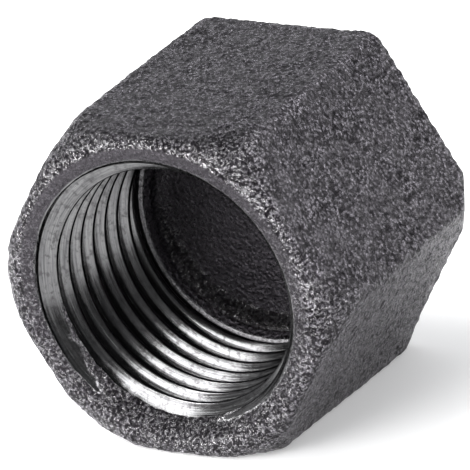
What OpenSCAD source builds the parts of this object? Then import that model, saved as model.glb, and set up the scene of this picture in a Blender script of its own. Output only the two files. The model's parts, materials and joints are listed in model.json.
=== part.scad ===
// Hexagonal pipe cap: one malleable-iron casting with a tapped blind socket.
// The cap lies on one wrench flat. The thread's axis is horizontal and the mouth faces -Y.
// The origin is the middle of the flat that it lies on. Millimetres, +Z up.

/* [Thread] */
// Major diameter of the parallel pipe thread, at the roots of its grooves
thread_major = 20.955; // [13:0.001:48]
// Distance from one thread groove to the next
pitch = 1.814; // [1.3:0.001:2.4]
// Included angle of the thread form
thread_angle = 55; // [50:1:60]
// Depth from the rim to the end of the tapped wall
thread_depth = 14.6; // [10:0.1:30]

/* [Mouth] */
// Radial play between the thread's root and the outer edge of the countersink
mouth_relief = 0.22; // [0.1:0.01:0.6]
// Included angle of the countersink
mouth_angle = 90; // [70:5:120]
// Flat land on the rim, between the countersink and the outer rounding
rim_land = 0.95; // [0.2:0.05:1.2]
// Length along the axis over which the rim rounds off into the corners
rim_round_length = 4.2; // [1:0.1:5]

/* [Pocket] */
// Step inwards from the tapped wall to the wall of the as-cast pocket behind it
pocket_step = 0.2; // [0.1:0.05:0.6]
// Length of the pocket
pocket_length = 1.8; // [1.2:0.1:6]
// Radius of the round in the pocket's bottom corner
pocket_round = 1.1; // [0.4:0.1:1.2]

/* [Body] */
// Wall between the thread's root and each wrench flat, which sets the wrench size
flat_wall = 2.0225; // [1.5:0.0005:6]
// Wall behind the pocket, which closes the pipe
end_wall = 6.6; // [2.5:0.1:12]
// Radial amount by which the six long corners are blunted
corner_blunt = 0.1; // [0.05:0.01:0.6]
// Radius of the rounded corners at the closed end
end_round = 1; // [0.4:0.1:2]

/* [Hidden] */
$fn = 96;

arc_step = 9; // degrees between the points of a rounded stretch
cut_past = 1; // how far a cut runs past the face that it opens

// The thread form is the standard one with a sixth of its height cut from crest and root.
form_height = pitch / 2 / tan(thread_angle / 2);
groove_depth = form_height * 2 / 3;
groove_flat = pitch / 6;
groove_width = pitch - groove_flat;

major_r = thread_major / 2;
minor_r = major_r - groove_depth;
mouth_r = major_r + mouth_relief;
pocket_r = minor_r - pocket_step;

across_flats = thread_major + 2 * flat_wall;
corner_r = across_flats / 2 / cos(30);
envelope_r = corner_r - corner_blunt;
rim_round_width = envelope_r - mouth_r - rim_land;

body_length = thread_depth + pocket_length + end_wall;
countersink_depth = (mouth_r - minor_r) / tan(mouth_angle / 2);
tapped_length = thread_depth - countersink_depth;
groove_count = floor((tapped_length - groove_flat) / pitch);

// The points of an arc about centre, from one angle to another. Its two half-axes may differ.
function arc(centre, half_axes, from, to) =
    let (steps = max(1, round(abs(to - from) / arc_step)))
    [for (i = [0 : steps])
        let (a = from + (to - from) * i / steps)
        centre + [half_axes.x * cos(a), half_axes.y * sin(a)]];

// Radius and height of the turned envelope, from the closed end at height 0 to the rim.
envelope_outline = concat(
    [[0, 0]],
    arc([envelope_r - end_round, end_round], [end_round, end_round], -90, 0),
    arc([envelope_r - rim_round_width, body_length - rim_round_length],
        [rim_round_width, rim_round_length], 0, 90),
    [[0, body_length]]
);

// One thread groove as radius and height, its mouth-side edge first.
function groove(middle) = [
    [minor_r, middle + groove_width / 2],
    [major_r, middle + groove_flat / 2],
    [major_r, middle - groove_flat / 2],
    [minor_r, middle - groove_width / 2]
];

// Radius and height of all that is open inside, from the mouth down to the pocket's bottom.
first_groove = body_length - countersink_depth - groove_flat / 2 - groove_width / 2;
tapped_end = body_length - thread_depth;
socket_outline = concat(
    [[0, body_length + cut_past],
     [mouth_r + cut_past * tan(mouth_angle / 2), body_length + cut_past],
     [minor_r, body_length - countersink_depth]],
    [for (i = [0 : groove_count - 1]) each groove(first_groove - i * pitch)],
    [[minor_r, tapped_end], [pocket_r, tapped_end]],
    arc([pocket_r - pocket_round, end_wall + pocket_round], [pocket_round, pocket_round], 0, -90),
    [[0, end_wall]]
);

// The six flats, inside a turned envelope that rounds the rim and blunts every corner.
module hex_body() {
    intersection() {
        cylinder(h = body_length, r = corner_r, $fn = 6);
        rotate_extrude() polygon(envelope_outline);
    }
}

// Countersink, thread and pocket, which one tool axis and one core share.
// The thread is cut as rings a pitch apart, not as a helix.
module socket() {
    rotate_extrude() polygon(socket_outline);
}

module cap() {
    color([0.27, 0.26, 0.28])
        translate([0, body_length / 2, across_flats / 2])
            rotate([90, 0, 0])
                difference() {
                    hex_body();
                    socket();
                }
}

cap();
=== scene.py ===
import json
import math

import bmesh
import bpy
import numpy as np
from mathutils import Matrix, Vector, noise


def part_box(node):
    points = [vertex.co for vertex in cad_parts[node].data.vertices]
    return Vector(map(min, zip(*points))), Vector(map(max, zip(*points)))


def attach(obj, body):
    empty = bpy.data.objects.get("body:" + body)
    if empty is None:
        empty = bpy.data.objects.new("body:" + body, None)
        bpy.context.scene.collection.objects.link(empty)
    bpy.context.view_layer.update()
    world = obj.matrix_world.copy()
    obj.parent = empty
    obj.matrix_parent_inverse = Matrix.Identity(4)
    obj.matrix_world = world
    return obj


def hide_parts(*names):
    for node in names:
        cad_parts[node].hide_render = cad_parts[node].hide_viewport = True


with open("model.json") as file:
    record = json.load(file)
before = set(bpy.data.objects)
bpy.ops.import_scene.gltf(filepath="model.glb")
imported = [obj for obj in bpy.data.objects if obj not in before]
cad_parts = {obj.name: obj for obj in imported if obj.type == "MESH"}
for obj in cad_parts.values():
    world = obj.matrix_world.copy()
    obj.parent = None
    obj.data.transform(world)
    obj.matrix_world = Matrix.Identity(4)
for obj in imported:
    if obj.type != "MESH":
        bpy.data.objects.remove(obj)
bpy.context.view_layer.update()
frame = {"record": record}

MM = 0.001  # metres in a millimetre; sizes below are in millimetres unless they say otherwise

# ---------------------------------------------------------------- what the frame says
cap_low, cap_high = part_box("cap")
THREAD_MOUNT = next(m for m in frame["record"]["mounts"] if m["name"] == "pipe_thread")

MOUTH_Y = cap_low[1] / MM
AXIS_Z = (cap_low[2] + cap_high[2]) / 2 / MM
LENGTH = (cap_high[1] - cap_low[1]) / MM
APOTHEM = (cap_high[2] - cap_low[2]) / 2 / MM
CORNER_REACH = (cap_high[0] - cap_low[0]) / 2 / MM
CREST_R = THREAD_MOUNT["dims"]["r_mm"]

# Depths below are measured from the mouth's plane, and angles round the thread's axis from +X towards +Z.

# ---------------------------------------------------------------- sizes of the body
SIDES = 6
HALF_SIDE = math.pi / SIDES   # angle from the middle of a flat to its corner
# the long corners' rounding with which they reach CORNER_REACH
CORNER_FILLET = (APOTHEM / math.cos(HALF_SIDE) - CORNER_REACH) / (1 / math.cos(HALF_SIDE) - 1)
RIM_FILLET = 1.6              # that rounding grows to this at the rim,
FILLET_RUN = 15.0             # over this length
END_EDGE = 0.55               # rounding of the closed end's edges
END_CORNER_REACH = 13.55      # how far from the axis the corners reach at the closed end's face,
END_CORNER_LENGTH = 1.0       # after rounding inwards over this length

CROWN_R = 11.65               # ridge of the rim, which touches the mouth's plane
RIM_FLAT_LENGTH = 0.85        # length over which the rim rounds off into the middle of each flat
RIM_REACH = 3.9               # and, nearly, over which it rounds off into the corners
RIM_FOOT_FILLET = 4.0         # rounding of the hexagon that this length swells with
RIM_FULLNESS = 0.78           # power of the rounding before the flats: below 1, fuller than an ellipse

GATE_SWELL = 0.6              # how far what is left of the casting's gate stands out, along +X
GATE_AT = -60                 # degrees round the axis
GATE_SPREAD = 42              # degrees to either side over which it dies out
GATE_START = 3.0              # depth at which it starts to rise
GATE_NICK = 1.9               # length of the nick at the closed end where the gate broke off
GATE_NICK_SLOPE = 0.3         # length over which the nick falls
GATE_MIN_R = 11.6             # points nearer to the axis stay where they are
KNOCK_NORMAL = Vector((0.88, 0.465, -0.09)).normalized()   # the way that the knocked corner faces
KNOCK_REACH = 16.62           # distance of the knocked place from the cap's middle
KNOCK_SOFTNESS = 0.15         # the most that may still stand out beyond that

# ---------------------------------------------------------------- sizes of the bore
CORE_R = 9.15                 # cast hole that the rim rolls down into, and that the tap then opened
CORE_ROLL_DEPTH = 1.9         # depth of that roll
CORE_OFFSET_X = -0.08         # the core's mouth sat a little off the thread's axis
CORE_OFFSET_Z = -0.38
CORE_OFFSET_IN = (0, 0.5)     # depths between which that offset sets in
CORE_OFFSET_OUT = (0.9, 2.1)  # and dies out
CORE_ROUGH = 0.05             # height of the core's own roughness, besides the grain
CORE_ROUGH_R = 10.5           # radius of the circle in the noise that this roughness follows
CUT_RANGE = (-0.02, 0.05)     # how far past the core a tool cuts, from none to all of the skin gone

PITCH = 1.814
FORM_HALF_ANGLE = math.radians(27.5)
FORM_DEPTH = PITCH / math.tan(FORM_HALF_ANGLE) / 3   # the sharp form less a sixth at crest and root
FORM_FLAT = PITCH / 6
ROOT_R = CREST_R + FORM_DEPTH
CONE_MOUTH_R = 10.75          # countersink's radius at the mouth's plane; it narrows at 45 degrees
THREAD_PHASE = 0.79           # where the helix starts, as a share of a turn
THREAD_FADE = (13.5, 14.3)    # depths between which the last groove runs out
PLAIN_R = 9.80                # plain stretch behind the thread
PLAIN_END = 14.6
STEP_PROFILE = ((0.02, 0.01), (0.10, 0.05), (0.22, 0.11), (0.30, 0.16))   # how far in and on it steps there
STEP_MACHINED = 0.6           # how much of that step a tool has cleaned
POCKET_MOUTH_R = PLAIN_R - STEP_PROFILE[-1][0]   # the cast pocket narrows from here
POCKET_R = 9.116
POCKET_END = 16.4
POCKET_ROUND = 1.1

# ---------------------------------------------------------------- grain, wear and painted glints, soot and painted shade, as shares
GRAIN_DEPTH = 0.15            # deepest print of the sand
GRAIN_MEAN = 0.30             # its mean, as a share of that
COARSE_PER_MM = 0.9           # its three layers, each with a scale and a weight
COARSE_WEIGHT = 0.25
COARSE_SHIFT = Vector((7, 3, 1))
MIDDLE_PER_MM = 2.4
MIDDLE_WEIGHT = 0.60
MIDDLE_SHIFT = Vector((1, 9, 4))
CELLS_PER_MM = 2.3
CELL_WEIGHT = 0.55
CELL_MEAN = 0.35
SOOT_FILLS = 0.7              # how much of the print is filled where the soot-and-shade share is full
LEAST_GRAIN = 0.01            # below this share, a point isn't moved

RIM_WEAR = (0.12, 0.60)       # how bare the iron is rubbed at the foot of the rim's rounding and at its crown
RIM_GLINT_TOP = 1.8            # how much more bare colour is painted at the top: a painted highlight from the light above
RIM_GLINT_TOP_AT = math.radians(90)
ROLL_SHADE = 0.85              # how smooth the roll into the mouth is at its top and left, and how dark it is painted there: painted shade
ROLL_GLINT = 1.0             # how much bare colour is painted on its grain at the bottom: a painted glint,
ROLL_GLINT_AT = math.radians(280)     # about this angle
CORNER_GLINT = 3             # how much bare colour is painted in the pocket's bottom corner: a painted glint,
CORNER_GLINT_AT = math.radians(265)   # about this angle,
CORNER_SHADE_LIFT = 0.3            # and how much of the soot and painted shade is lifted with it

# ---------------------------------------------------------------- mesh density
COLUMNS_PER_SIDE = 64
COLUMNS = SIDES * COLUMNS_PER_SIDE
COLUMN_CROWDING = 0.2         # how much closer columns stand at the corners
END_EDGE_ROWS = 5
SIDE_ROWS = 70
RIM_ROWS = 24
ROLL_ROWS = 7
POCKET_WALL_ROWS = 4
POCKET_ROUND_ROWS = 8
END_FACE_STEP = 0.27          # between the rings of the closed end's face
POCKET_FACE_STEP = 0.3        # and of the pocket's
FACE_MIDDLE = 0.05            # share of a face's radius inside which one fan closes it
FACE_HALVING = 0.62           # share of its radius below which a face has half the columns
FACE_WIDENING = 0.8           # how much its steps widen with its columns
FACE_COLUMNS = 24             # its columns are halved only while there are more than this
HELIX_START = 0.2             # depth from which the mesh rows follow the helix, as far as PLAIN_END
ROW_SNAP = 0.03               # rows that come nearer than this to its ends are moved onto them
FORM_EDGE = 0.03              # distance of the rows on either side of each edge of the thread form
WELD = 1e-7                   # metres between points that are one


def column_angles():
    """Angles of the mesh columns, nearly even along each flat. Column 0 is on the corner at +X."""
    share = np.arange(COLUMNS_PER_SIDE) / COLUMNS_PER_SIDE * 2 - 1
    along = share + COLUMN_CROWDING * np.sin(np.pi * share) / np.pi
    one_side = np.arctan(along * math.tan(HALF_SIDE)) + HALF_SIDE
    return np.concatenate([one_side + i * 2 * math.pi / SIDES for i in range(SIDES)])


ANGLES = column_angles()


# ---------------------------------------------------------------- curves, for every column at once
def smooth_step(low, high, value):
    """0 below low, 1 above high, and an even S between them."""
    t = np.clip((value - low) / (high - low), 0, 1)
    return t * t * (3 - 2 * t)


def lobe(middle, sharpness):
    """1 in the column at the angle middle, falling to 0 opposite it."""
    return (0.5 + 0.5 * np.cos(ANGLES - middle)) ** sharpness


def hexagon(apothem, fillet):
    """Radius of a hexagon with corners at 0, 60, ... degrees, rounded by fillet."""
    from_corner = np.abs((ANGLES + HALF_SIDE) % (2 * HALF_SIDE) - HALF_SIDE)
    flat = apothem / np.cos(HALF_SIDE - from_corner)
    centre = (apothem - fillet) / math.cos(HALF_SIDE)
    inside = np.clip(fillet ** 2 - (centre * np.sin(from_corner)) ** 2, 0, None)
    rounded = centre * np.cos(from_corner) + np.sqrt(inside)
    tangent = HALF_SIDE - np.arctan((apothem - fillet) * math.tan(HALF_SIDE) / apothem)
    return np.where(from_corner < tangent, rounded, flat)


def flats_radius(depth):
    """Radius of the six flats, whose corners are softer towards the rim."""
    share = smooth_step(0, FILLET_RUN, depth)
    return hexagon(APOTHEM, RIM_FILLET + (CORNER_FILLET - RIM_FILLET) * share)


def outer_radius(depth):
    """Radius of the sides: the flats, with their corners blunted towards the closed end."""
    share = np.clip((depth - (LENGTH - END_CORNER_LENGTH)) / END_CORNER_LENGTH, 0, 1)
    end = CORNER_REACH - (CORNER_REACH - END_CORNER_REACH) * (1 - np.sqrt(1 - share ** 2))
    return np.minimum(flats_radius(depth), end)


def rim_length():
    """How far back the rim's rounding starts: a little on the flats, more towards the corners."""
    width = hexagon(APOTHEM, RIM_FOOT_FILLET) - CROWN_R
    turned = RIM_REACH * (width / width.max()) ** 3
    return np.sqrt(RIM_FLAT_LENGTH ** 2 + turned ** 2)


def groove_radius(offset):
    """Radius of the thread form at an axial offset from a groove's middle: flat root, flank, flat crest."""
    offset = np.abs((offset + PITCH / 2) % PITCH - PITCH / 2)
    flank = ROOT_R - (offset - FORM_FLAT / 2) / math.tan(FORM_HALF_ANGLE)
    return np.clip(flank, CREST_R, ROOT_R)


def tool_radius(depth):
    """What countersink and tap leave open at a depth. The thread is a right-hand helix."""
    cone = CONE_MOUTH_R - depth
    thread = groove_radius(depth + PITCH * (ANGLES / (2 * math.pi) - THREAD_PHASE))
    fade = smooth_step(*THREAD_FADE, depth)
    thread = thread * (1 - fade) + PLAIN_R * fade
    return np.maximum(cone, thread)


def core_radius(depth):
    """What the sand core left open at a depth, before any tool cut it."""
    share = np.clip(1 - depth / CORE_ROLL_DEPTH, 0, 1)
    roll = CROWN_R - (CROWN_R - CORE_R) * np.sqrt(np.clip(1 - share ** 2, 0, None))
    offset = CORE_OFFSET_X * np.cos(ANGLES) + CORE_OFFSET_Z * np.sin(ANGLES)
    settled = smooth_step(*CORE_OFFSET_IN, depth) * (1 - smooth_step(*CORE_OFFSET_OUT, depth))
    return roll + offset * settled


def bore_point(depth):
    """Radius, depth and machined share of the bore's surface."""
    depth = np.broadcast_to(depth, COLUMNS).astype(float)
    circle = zip(CORE_ROUGH_R * np.cos(ANGLES), CORE_ROUGH_R * np.sin(ANGLES), depth)
    rough = np.array([CORE_ROUGH * noise.noise(Vector(place)) for place in circle])
    core = core_radius(depth)
    tool = tool_radius(depth)
    machined = smooth_step(*CUT_RANGE, tool - core - rough)
    return np.maximum(core + rough * (1 - machined), tool), depth, machined


# ---------------------------------------------------------------- the mesh
class Skin:
    """Vertices ring by ring, with the faces between them. New vertices take the present soot-and-shade and
    wear-and-glint shares.
    """

    def __init__(self):
        self.points = []
        self.machined = []
        self.sooty_and_shaded = []
        self.worn_and_glinting = []
        self.faces = []
        self.soot_and_shade = 0.0
        self.wear_and_glint = 0.0

    def ring(self, angles, radius, depth, machined=0.0):
        """Adds one ring of points and returns their numbers."""
        first = len(self.points)
        count = len(angles)
        for a, r, d in zip(angles, np.broadcast_to(radius, count), np.broadcast_to(depth, count)):
            self.points.append((r * math.cos(a), MOUTH_Y + d, AXIS_Z + r * math.sin(a)))
        self.machined += np.broadcast_to(machined, count).tolist()
        self.sooty_and_shaded += np.broadcast_to(self.soot_and_shade, count).tolist()
        self.worn_and_glinting += np.broadcast_to(self.wear_and_glint, count).tolist()
        return list(range(first, first + count))

    def join(self, first, second):
        """Faces between two rings, where the second has as many points as the first or half as many."""
        for i in range(len(second)):
            j = (i + 1) % len(second)
            if len(first) == len(second):
                self.faces.append((first[i], first[j], second[j], second[i]))
            else:
                a, b, c = first[2 * i], first[2 * i + 1], first[(2 * i + 2) % len(first)]
                self.faces += [(a, b, second[i]), (b, second[j], second[i]), (b, c, second[j])]

    def grow(self, last, radius, depth, machined=0.0):
        """Adds a ring of all columns, joins it to the last one and returns it."""
        ring = self.ring(ANGLES, radius, depth, machined)
        self.join(last, ring)
        return ring

    def close(self, ring, depth):
        """A fan from a ring to one point on the axis."""
        middle = len(self.points)
        self.points.append((0.0, MOUTH_Y + depth, AXIS_Z))
        self.machined.append(0.0)
        self.sooty_and_shaded.append(self.soot_and_shade)
        self.worn_and_glinting.append(self.wear_and_glint)
        for i, number in enumerate(ring):
            self.faces.append((number, ring[(i + 1) % len(ring)], middle))


def face(skin, ring, outline, depth, step):
    """Fills a ring inwards to the axis, with half the columns each time the radius has about halved."""
    angles = ANGLES
    outline = np.broadcast_to(outline, COLUMNS)
    reach = float(outline.mean())
    share = 1.0
    halve_below = FACE_HALVING
    while share > FACE_MIDDLE:
        share -= min(share / 2, step / reach * max(1.0, COLUMNS / len(angles) * FACE_WIDENING))
        if share < halve_below and len(angles) > FACE_COLUMNS:
            angles, outline = angles[::2], outline[::2]
            halve_below /= 2
        inner = skin.ring(angles, outline * share, depth)
        skin.join(ring, inner)
        ring = inner
    skin.close(ring, depth)


def closed_end(skin):
    """End face and its rounded edge; returns the ring at the edge's foot, where the sides start."""
    rings = []
    for i in range(END_EDGE_ROWS + 1):
        turn = math.pi / 2 * i / END_EDGE_ROWS
        inset = END_EDGE * (1 - math.sin(turn))
        back = END_EDGE * (1 - math.cos(turn))
        rings.append(skin.ring(ANGLES, outer_radius(LENGTH - back) - inset, LENGTH - back))
    for a, b in zip(rings, rings[1:]):
        skin.join(a, b)
    first_new = len(skin.faces)
    face(skin, rings[0], outer_radius(LENGTH) - END_EDGE, LENGTH, END_FACE_STEP)
    skin.faces[first_new:] = [corners[::-1] for corners in skin.faces[first_new:]]
    return rings[-1]


def sides(skin, last):
    """The six flats, from the closed end to where the rim's rounding starts in each column."""
    foot = rim_length()
    for i in range(1, SIDE_ROWS + 1):
        share = i / SIDE_ROWS
        depth = (LENGTH - END_EDGE) * (1 - share) + foot * share
        last = skin.grow(last, outer_radius(depth), depth)
    return last


def rim(skin, last):
    """The rim's outer rounding, from its foot up to its crown."""
    foot = rim_length()
    flats = flats_radius(foot)
    fullness = RIM_FULLNESS + (1 - RIM_FULLNESS) * (foot - RIM_FLAT_LENGTH) / (RIM_REACH - RIM_FLAT_LENGTH)
    least, most = RIM_WEAR
    # more bare colour towards the top of the rim: a painted highlight
    top_glint = 1 + RIM_GLINT_TOP * lobe(RIM_GLINT_TOP_AT, sharpness=3)
    for i in range(1, RIM_ROWS + 1):
        turn = math.pi / 2 * i / RIM_ROWS
        radius = CROWN_R + (flats - CROWN_R) * max(math.cos(turn), 0) ** fullness
        skin.wear_and_glint = (least + (most - least) * math.sin(turn) ** 3) * top_glint
        last = skin.grow(last, radius, foot * (1 - math.sin(turn) ** fullness))
    return last


def mouth_roll(skin, last):
    """The roll from the crown down to HELIX_START, with a painted glint at its bottom and painted shade at
    its top and left. The bore's vertices keep its wear-and-glint and soot-and-shade shares.
    """
    # a painted glint at the roll's bottom, and painted shade at its top and left
    roll_glint = ROLL_GLINT * lobe(ROLL_GLINT_AT, sharpness=2)
    skin.wear_and_glint = roll_glint
    skin.soot_and_shade = ROLL_SHADE * (1 - roll_glint)
    end_turn = math.acos(1 - HELIX_START / CORE_ROLL_DEPTH)
    for i in range(1, ROLL_ROWS + 1):
        depth = CORE_ROLL_DEPTH * (1 - math.cos(end_turn * i / ROLL_ROWS))
        last = skin.grow(last, *bore_point(depth))
    return last


def row_offsets():
    """Where one turn's mesh rows lie from a groove's middle: beside each edge of the form and between."""
    root_edge = FORM_FLAT / 2
    crest_edge = PITCH / 2 - FORM_FLAT / 2
    half = [root_edge - FORM_EDGE, root_edge + FORM_EDGE, (root_edge + crest_edge) / 2,
            crest_edge - FORM_EDGE, crest_edge + FORM_EDGE]
    return [0.0] + half + [PITCH / 2] + [PITCH - offset for offset in half[::-1]]


def bore(skin, last):
    """The threaded wall. Its rows run along the helix, and are cut off at both ends of the stretch."""
    offsets = row_offsets()
    turns = math.ceil((PLAIN_END - HELIX_START) / PITCH) + 2
    rows = []
    for turn in range(turns):
        for offset in offsets:
            depth = PITCH * (turn - 1 + THREAD_PHASE - ANGLES / (2 * math.pi)) + offset
            depth = np.where(depth < HELIX_START + ROW_SNAP, HELIX_START, depth)
            depth = np.where(depth > PLAIN_END - ROW_SNAP, PLAIN_END, depth)
            rows.append(skin.ring(ANGLES, *bore_point(depth)))
    for row, following in zip(rows, rows[1:]):
        for i in range(COLUMNS - 1):
            skin.faces.append((row[i], row[i + 1], following[i + 1], following[i]))
    for i in range(len(rows) - 1):
        # the last column meets the first column of the rows one turn earlier
        before = max(i - len(offsets), 0)
        after = max(i + 1 - len(offsets), 0)
        skin.faces.append((rows[i][-1], rows[before][0], rows[after][0], rows[i + 1][-1]))
    skin.join(last, rows[0])
    return rows[-1]


def pocket(skin, last):
    """The cast pocket behind the thread: a step, its narrowing wall, rounded corner and end wall."""
    # the pocket is painted darker: soot, and painted shade of the deep pocket
    skin.soot_and_shade = 1.0
    skin.wear_and_glint = 0.0
    for inwards, onwards in STEP_PROFILE:
        last = skin.grow(last, PLAIN_R - inwards, PLAIN_END + onwards, STEP_MACHINED)
    wall_start = PLAIN_END + STEP_PROFILE[-1][1]
    corner_start = POCKET_END - POCKET_ROUND
    for i in range(1, POCKET_WALL_ROWS + 1):
        share = i / POCKET_WALL_ROWS
        depth = wall_start + (corner_start - wall_start) * share
        last = skin.grow(last, POCKET_MOUTH_R + (POCKET_R - POCKET_MOUTH_R) * share, depth)
    for i in range(1, POCKET_ROUND_ROWS + 1):
        turn = math.pi / 2 * i / POCKET_ROUND_ROWS
        # a painted glint in the bottom corner, with the soot and painted shade lifted there
        skin.wear_and_glint = CORNER_GLINT * math.sin(2 * turn) * lobe(CORNER_GLINT_AT, sharpness=4)
        skin.soot_and_shade = 1 - CORNER_SHADE_LIFT * skin.wear_and_glint
        radius = POCKET_R - POCKET_ROUND * (1 - math.cos(turn))
        last = skin.grow(last, radius, corner_start + POCKET_ROUND * math.sin(turn))
    skin.wear_and_glint = 0.0
    skin.soot_and_shade = 1.0
    face(skin, last, POCKET_R - POCKET_ROUND, POCKET_END, POCKET_FACE_STEP)


def grain(point):
    """How far the sand's print lies below the cast surface, from 0 to 1."""
    coarse = noise.noise(point * COARSE_PER_MM + COARSE_SHIFT)
    middle = noise.noise(point * MIDDLE_PER_MM + MIDDLE_SHIFT)
    cell = noise.voronoi(point * CELLS_PER_MM)[0][0] - CELL_MEAN
    print_depth = GRAIN_MEAN + COARSE_WEIGHT * coarse + MIDDLE_WEIGHT * middle + CELL_WEIGHT * cell
    return min(1.0, max(0.0, print_depth))


def knock_corner(place):
    """Flattens the closed end's corner at +X, as if the cap had been dropped on it."""
    beyond = (place / MM - Vector((0, 0, AXIS_Z))).dot(KNOCK_NORMAL) - KNOCK_REACH
    if beyond > 0:
        kept = KNOCK_SOFTNESS * (1 - math.exp(-beyond / KNOCK_SOFTNESS))
        place += KNOCK_NORMAL * (kept - beyond) * MM


def gate_stub(place):
    """Leaves what remains of the casting's gate: a swelling at one long corner, nicked at the end."""
    x, depth, z = place.x / MM, place.y / MM - MOUTH_Y, place.z / MM - AXIS_Z
    if math.hypot(x, z) < GATE_MIN_R:
        return
    apart = abs(math.degrees(math.atan2(z, x)) - GATE_AT)
    nick_start = LENGTH - GATE_NICK
    along = smooth_step(GATE_START, nick_start, depth)
    along -= smooth_step(nick_start, nick_start + GATE_NICK_SLOPE, depth)
    place.x += float(GATE_SWELL * MM * along * (1 - smooth_step(0, GATE_SPREAD, apart)))


def roughen(mesh):
    """Welds the mesh into one closed skin, prints the sand into what is cast, and adds knock and gate."""
    work = bmesh.new()
    work.from_mesh(mesh)
    bmesh.ops.remove_doubles(work, verts=work.verts, dist=WELD)
    bmesh.ops.dissolve_degenerate(work, edges=work.edges, dist=WELD)
    bmesh.ops.recalc_face_normals(work, faces=work.faces)
    work.normal_update()
    machined = work.verts.layers.float["machined"]
    soot_and_shade = work.verts.layers.float["soot_and_shade"]
    for vertex in work.verts:
        rough = (1 - vertex[machined]) * (1 - SOOT_FILLS * vertex[soot_and_shade])
        if rough > LEAST_GRAIN:
            vertex.co -= vertex.normal * GRAIN_DEPTH * MM * rough * grain(vertex.co / MM)
        knock_corner(vertex.co)
        gate_stub(vertex.co)
    work.to_mesh(mesh)
    work.free()


def build_casting():
    """The one casting as a closed mesh, with its machined, soot-and-shade and wear-and-glint shares stored on
    the points.
    """
    skin = Skin()
    last = closed_end(skin)
    for stretch in (sides, rim, mouth_roll, bore):
        last = stretch(skin, last)
    pocket(skin, last)

    mesh = bpy.data.meshes.new("cap_casting")
    mesh.from_pydata([tuple(c * MM for c in p) for p in skin.points], [], skin.faces)
    for name, values in (("machined", skin.machined), ("soot_and_shade", skin.sooty_and_shaded), ("wear_and_glint", skin.worn_and_glinting)):
        mesh.attributes.new(name, "FLOAT", "POINT").data.foreach_set("value", values)
    roughen(mesh)
    mesh.shade_smooth()
    obj = bpy.data.objects.new("cap_casting", mesh)
    bpy.context.collection.objects.link(obj)
    return obj


# ---------------------------------------------------------------- materials
class Nodes:
    """Short ways to add and link shader nodes."""

    def __init__(self, owner):
        owner.use_nodes = True
        self.tree = owner.node_tree
        self.tree.nodes.clear()

    def put(self, socket, value):
        """Links a socket to another node's output, or sets it to a value."""
        if isinstance(value, bpy.types.NodeSocket):
            self.tree.links.new(value, socket)
        else:
            socket.default_value = value

    def add(self, kind, **inputs):
        """A node whose inputs are given by name, with _ for a space."""
        node = self.tree.nodes.new(kind)
        for name, value in inputs.items():
            self.put(node.inputs[name.replace("_", " ")], value)
        return node

    def fill(self, node, inputs):
        """Sets inputs by their index, for nodes that name several of them alike."""
        for index, value in inputs.items():
            self.put(node.inputs[index], value)

    def math(self, operation, a, b=0.0, clamp=False):
        node = self.tree.nodes.new("ShaderNodeMath")
        node.operation = operation
        node.use_clamp = clamp
        self.fill(node, {0: a, 1: b})
        return node.outputs[0]

    def noise(self, place, scale, detail, roughness):
        node = self.add("ShaderNodeTexNoise", Vector=place, Scale=scale, Detail=detail, Roughness=roughness)
        return node.outputs[0]

    def spread(self, value, from_low, from_high, to_low=0.0, to_high=1.0):
        """Maps one range evenly onto another and stops at its ends."""
        node = self.tree.nodes.new("ShaderNodeMapRange")
        self.fill(node, dict(enumerate((value, from_low, from_high, to_low, to_high))))
        return node.outputs[0]

    def blend(self, share, a, b):
        """Goes from colour a to colour b."""
        node = self.tree.nodes.new("ShaderNodeMix")
        node.data_type = "RGBA"
        self.fill(node, {0: share, 6: a, 7: b})
        return node.outputs[2]

    def blend_vectors(self, share, a, b):
        """Goes from vector a to vector b."""
        node = self.tree.nodes.new("ShaderNodeMix")
        node.data_type = "VECTOR"
        self.fill(node, {0: share, 4: a, 5: b})
        return node.outputs[1]

    def stored(self, name):
        """One of the shares stored on the mesh's points."""
        node = self.add("ShaderNodeAttribute")
        node.attribute_name = name
        return node.outputs["Fac"]

    def finish(self, kind, shader):
        """Ends the tree with an output node for a shader."""
        self.put(self.add(kind).inputs["Surface"], shader.outputs[0])


SKIN_DARK = (0.014, 0.012, 0.015, 1)     # between the sand's grains
SKIN_LIGHT = (0.225, 0.212, 0.236, 1)    # on top of them
SKIN_RUBBED = (0.085, 0.080, 0.088, 1)   # where handling has evened them out a little
RUBBED_SHARE = 0.35
# soot, and painted shade on the roll's top and left and in the deep pocket
SOOT_AND_SHADE_COLOUR = (0.050, 0.046, 0.052, 1)
BARE_AND_GLINT_COLOUR = (0.56, 0.55, 0.56, 1)      # grains that are rubbed bare, and painted glints on the rim's top, the roll's bottom and the pocket's corner
METAL_DARK = (0.060, 0.059, 0.062, 1)    # in the tool marks
METAL_LIGHT = (0.160, 0.160, 0.161, 1)   # and between them
PIT_COLOUR = (0.04, 0.038, 0.04, 1)
PIT_SHARE = 0.7

PEBBLES_PER_MM = 3.4
PEBBLE_WEIGHT = 0.45
FINE_PER_MM = 4.6
FINE_WEIGHT = 0.85
RUBBING_PER_MM = 0.35
PITS_PER_MM = 2.2                 # scale of the pits' noise
MARKS_PER_MM = 7.0                # tool marks along the axis,
MARKS_PER_MM_IN = 9.0             # and towards it;
MARK_DRIFT = (0.28, 0.2)          # round the axis they change only with these small shares of x and z
SKIN_BUMP = 1.15                  # strength of the shaded grain, as a height, where the skin is clean,
SOOT_BUMP = 0.12                  # and where the soot-and-shade share is full
MARK_BUMP = 0.006                 # and of the tool marks

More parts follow.
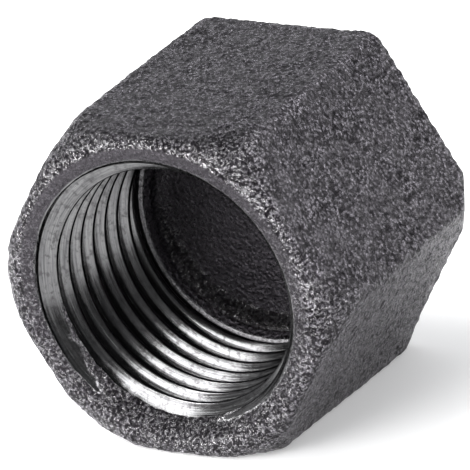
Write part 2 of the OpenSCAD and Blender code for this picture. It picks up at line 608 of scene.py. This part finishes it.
SKIN_HEIGHTS = (0.60, 0.80)       # grain heights between SKIN_DARK and SKIN_LIGHT
SPECK_RANGE = (0.50, 0.64)        # values of a noise between none and all, for bare grains and for pits
BROAD_RANGE = (0.35, 0.65)        # values of a noise between none and all, for bare grains and painted glints, and for pits
MARK_RANGE = (0.3, 0.7)           # and of what the tool marks' noise gives
SKIN_ROUGHNESS = (0.36, 0.20)     # from the grain's hollows to its peaks
METAL_ROUGHNESS = (0.14, 0.28)    # from the bottoms of the tool marks to their tops

WHITE = (1, 1, 1, 1)
FLOOR_COLOUR = (0.93, 0.93, 0.93, 1)
FLOOR_GLOW = 0.32


def millimetres(nodes):
    """Object coordinates in millimetres."""
    scale = nodes.tree.nodes.new("ShaderNodeVectorMath")
    scale.operation = "SCALE"
    nodes.put(scale.inputs[0], nodes.add("ShaderNodeTexCoord").outputs["Object"])
    nodes.put(scale.inputs["Scale"], 1 / MM)
    return scale.outputs[0]


def turned_coordinates(nodes, place):
    """Coordinates that hardly change round the thread's axis, so that noise in them makes tool marks."""
    split = nodes.add("ShaderNodeSeparateXYZ", Vector=place)
    across = split.outputs[0]
    up = nodes.math("SUBTRACT", split.outputs[2], AXIS_Z)
    squares = nodes.math("ADD", nodes.math("MULTIPLY", across, across), nodes.math("MULTIPLY", up, up))
    radius = nodes.math("SQRT", squares)
    drift = nodes.math("ADD", nodes.math("MULTIPLY", across, MARK_DRIFT[0]),
                       nodes.math("MULTIPLY", up, MARK_DRIFT[1]))
    joined = nodes.add("ShaderNodeCombineXYZ", X=nodes.math("MULTIPLY", split.outputs[1], MARKS_PER_MM),
                       Y=nodes.math("MULTIPLY", radius, MARKS_PER_MM_IN), Z=drift)
    return joined.outputs[0]


def cast_skin(nodes, place):
    """Colour, roughness and normal of the sandy skin, with its rubbed places, soot and painted shade, and
    bare grains and painted glints.
    """
    pebbles = nodes.add("ShaderNodeTexVoronoi", Vector=place, Scale=PEBBLES_PER_MM, Randomness=1.0)
    fine = nodes.noise(place, FINE_PER_MM, detail=3.0, roughness=0.80)
    lump = nodes.math("SUBTRACT", 1.0, pebbles.outputs["Distance"])
    height = nodes.math("ADD", nodes.math("MULTIPLY", lump, PEBBLE_WEIGHT),
                        nodes.math("MULTIPLY", fine, FINE_WEIGHT))
    rubbing = nodes.noise(place, RUBBING_PER_MM, detail=2.0, roughness=0.5)
    rubbed = nodes.math("MULTIPLY", nodes.spread(rubbing, *BROAD_RANGE), RUBBED_SHARE)
    soot_and_shade = nodes.stored("soot_and_shade")
    bare_and_glint = nodes.math("MULTIPLY", nodes.stored("wear_and_glint"), nodes.spread(fine, *SPECK_RANGE), clamp=True)

    colour = nodes.blend(nodes.spread(height, *SKIN_HEIGHTS), SKIN_DARK, SKIN_LIGHT)
    colour = nodes.blend(rubbed, colour, SKIN_RUBBED)
    # soot, and painted shade on the roll's top and left and in the pocket
    colour = nodes.blend(soot_and_shade, colour, SOOT_AND_SHADE_COLOUR)
    # bare grains where the iron is worn, and painted glints
    colour = nodes.blend(bare_and_glint, colour, BARE_AND_GLINT_COLOUR)
    roughness = nodes.spread(fine, *BROAD_RANGE, *SKIN_ROUGHNESS)
    bump_height = nodes.spread(soot_and_shade, 0.0, 1.0, SKIN_BUMP * MM, SOOT_BUMP * MM)
    bump = nodes.add("ShaderNodeBump", Strength=1.0, Distance=bump_height, Height=height)
    return colour, roughness, bump.outputs[0]


def cut_metal(nodes, place):
    """Colour, roughness and normal of the turned metal, with its tool marks and pits."""
    marks = nodes.noise(turned_coordinates(nodes, place), scale=1.0, detail=3.0, roughness=0.6)
    pits = nodes.noise(place, PITS_PER_MM, detail=4.0, roughness=0.7)
    pitted = nodes.math("MULTIPLY", nodes.spread(pits, *SPECK_RANGE), PIT_SHARE)

    colour = nodes.blend(nodes.spread(marks, *MARK_RANGE), METAL_DARK, METAL_LIGHT)
    colour = nodes.blend(pitted, colour, PIT_COLOUR)
    roughness = nodes.spread(marks, *MARK_RANGE, *METAL_ROUGHNESS)
    bump = nodes.add("ShaderNodeBump", Strength=1.0, Distance=MARK_BUMP * MM, Height=marks)
    return colour, roughness, bump.outputs[0]


def iron_material():
    """Cast iron: sandy dark skin where the casting was left alone, bright turned metal where tools cut it."""
    material = bpy.data.materials.new("cast_iron")
    nodes = Nodes(material)
    place = millimetres(nodes)
    machined = nodes.stored("machined")
    skin_colour, skin_roughness, skin_normal = cast_skin(nodes, place)
    metal_colour, metal_roughness, metal_normal = cut_metal(nodes, place)
    unmachined = nodes.math("SUBTRACT", 1.0, machined)
    roughness = nodes.math("ADD", nodes.math("MULTIPLY", skin_roughness, unmachined),
                           nodes.math("MULTIPLY", metal_roughness, machined))
    shader = nodes.add("ShaderNodeBsdfPrincipled", Metallic=1.0, Roughness=roughness,
                       Base_Color=nodes.blend(machined, skin_colour, metal_colour),
                       Normal=nodes.blend_vectors(machined, skin_normal, metal_normal))
    nodes.finish("ShaderNodeOutputMaterial", shader)
    return material


def floor_material():
    """Plain pale studio floor, with a weak glow of its own."""
    material = bpy.data.materials.new("studio_floor")
    nodes = Nodes(material)
    shader = nodes.add("ShaderNodeBsdfPrincipled", Base_Color=FLOOR_COLOUR, Roughness=0.9,
                       Emission_Color=WHITE, Emission_Strength=FLOOR_GLOW)
    nodes.finish("ShaderNodeOutputMaterial", shader)
    return material


# ---------------------------------------------------------------- the stage
FLOOR_REACH = 6.0             # metres to the left, to the right and behind
FLOOR_FRONT = -0.07           # metres; it ends near the cap, so that the bore reflects the room
FLOOR_DROP = 0.02             # how far below the resting flat it lies

WORLD_BACK = 0.95             # brightness behind the cap,
WORLD_FRONT = 0.25            # and in front of it
WORLD_TURN = 0.35             # how far that front is turned towards +X
WORLD_BLEND = 0.35            # half of the width over which one becomes the other
WORLD_COLOUR = (0.97, 0.98, 1.0, 1)

LIGHT_DISTANCE = 0.5          # metres
SOFTBOXES = (                 # name, direction from the cap, width and height in metres, watts
    ("top_softbox", (-0.46, -0.33, 0.82), 0.27, 0.27, 4.6),
    ("left_softbox", (-0.265, -0.867, 0.423), 0.31, 0.24, 3.1),
)

CAMERA_AZIMUTH = math.radians(30.2)     # from -Y towards +X
CAMERA_ELEVATION = math.radians(22.5)
CAMERA_ROLL = math.radians(6.2)
CAMERA_DISTANCE = 0.455       # metres from the point that it looks at
SEEN_WIDTH = 34.29            # width of the picture where the cap is
AIM_RIGHT = -0.07             # that point, from the cap's middle, to the right in the picture
AIM_UP = 0.15                 # and up
SENSOR_WIDTH = 36


def make_floor():
    """A floor just below the cap."""
    z = -FLOOR_DROP * MM
    corners = [(-FLOOR_REACH, FLOOR_FRONT, z), (FLOOR_REACH, FLOOR_FRONT, z),
               (FLOOR_REACH, FLOOR_REACH, z), (-FLOOR_REACH, FLOOR_REACH, z)]
    mesh = bpy.data.meshes.new("studio_floor")
    mesh.from_pydata(corners, [], [(0, 1, 2, 3)])
    floor = bpy.data.objects.new("studio_floor", mesh)
    floor.data.materials.append(floor_material())
    bpy.context.collection.objects.link(floor)


def make_lights():
    """One softbox above and a little in front, one in front on the left that shines into the mouth."""
    middle = Vector((0, 0, AXIS_Z * MM))
    for name, direction, width, height, power in SOFTBOXES:
        data = bpy.data.lights.new(name, "AREA")
        data.shape = "RECTANGLE"
        data.size = width
        data.size_y = height
        data.energy = power
        light = bpy.data.objects.new(name, data)
        way = Vector(direction).normalized()
        facing = way.to_track_quat("Z", "Y").to_matrix().to_4x4()
        light.matrix_world = Matrix.Translation(middle + way * LIGHT_DISTANCE) @ facing
        light.visible_camera = False
        bpy.context.collection.objects.link(light)


def make_world():
    """A pale sweep behind the cap and a dim room in front of it. The camera itself sees plain white."""
    world = bpy.data.worlds.new("studio")
    nodes = Nodes(world)
    direction = nodes.add("ShaderNodeTexCoord").outputs["Generated"]
    split = nodes.add("ShaderNodeSeparateXYZ", Vector=direction)
    sideways = nodes.math("MULTIPLY", split.outputs[0], WORLD_TURN)
    frontwards = nodes.math("SUBTRACT", sideways, split.outputs[1])
    strength = nodes.spread(frontwards, -WORLD_BLEND, WORLD_BLEND, WORLD_BACK, WORLD_FRONT)
    lit = nodes.add("ShaderNodeBackground", Color=WORLD_COLOUR, Strength=strength)
    seen = nodes.add("ShaderNodeBackground", Color=WHITE, Strength=1.0)
    camera_ray = nodes.add("ShaderNodeLightPath").outputs["Is Camera Ray"]
    mix = nodes.add("ShaderNodeMixShader")
    nodes.fill(mix, {0: camera_ray, 1: lit.outputs[0], 2: seen.outputs[0]})
    nodes.finish("ShaderNodeOutputWorld", mix)
    bpy.context.scene.world = world


def make_camera():
    """Looks into the mouth from the right and above, a little rolled, through a long lens."""
    level = math.cos(CAMERA_ELEVATION)
    back = Vector((math.sin(CAMERA_AZIMUTH) * level, -math.cos(CAMERA_AZIMUTH) * level,
                   math.sin(CAMERA_ELEVATION)))
    level_right = Vector((math.cos(CAMERA_AZIMUTH), math.sin(CAMERA_AZIMUTH), 0))
    level_up = back.cross(level_right)
    right = level_right * math.cos(CAMERA_ROLL) - level_up * math.sin(CAMERA_ROLL)
    up = level_up * math.cos(CAMERA_ROLL) + level_right * math.sin(CAMERA_ROLL)
    middle = Vector((0, (cap_low[1] + cap_high[1]) / 2, AXIS_Z * MM))
    aim = middle + right * AIM_RIGHT * MM + up * AIM_UP * MM
    data = bpy.data.cameras.new("camera")
    data.sensor_width = SENSOR_WIDTH
    data.lens = SENSOR_WIDTH * CAMERA_DISTANCE / (SEEN_WIDTH * MM)
    data.clip_start = 0.05
    data.clip_end = 50
    camera = bpy.data.objects.new("camera", data)
    turn = Matrix((right, up, back)).transposed().to_4x4()
    camera.matrix_world = Matrix.Translation(aim + back * CAMERA_DISTANCE) @ turn
    bpy.context.collection.objects.link(camera)
    bpy.context.scene.camera = camera


make_camera()
make_world()
make_lights()
make_floor()
bpy.context.scene.view_settings.view_transform = "Standard"

casting = build_casting()
casting.data.materials.append(iron_material())
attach(casting, "root")
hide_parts("cap")
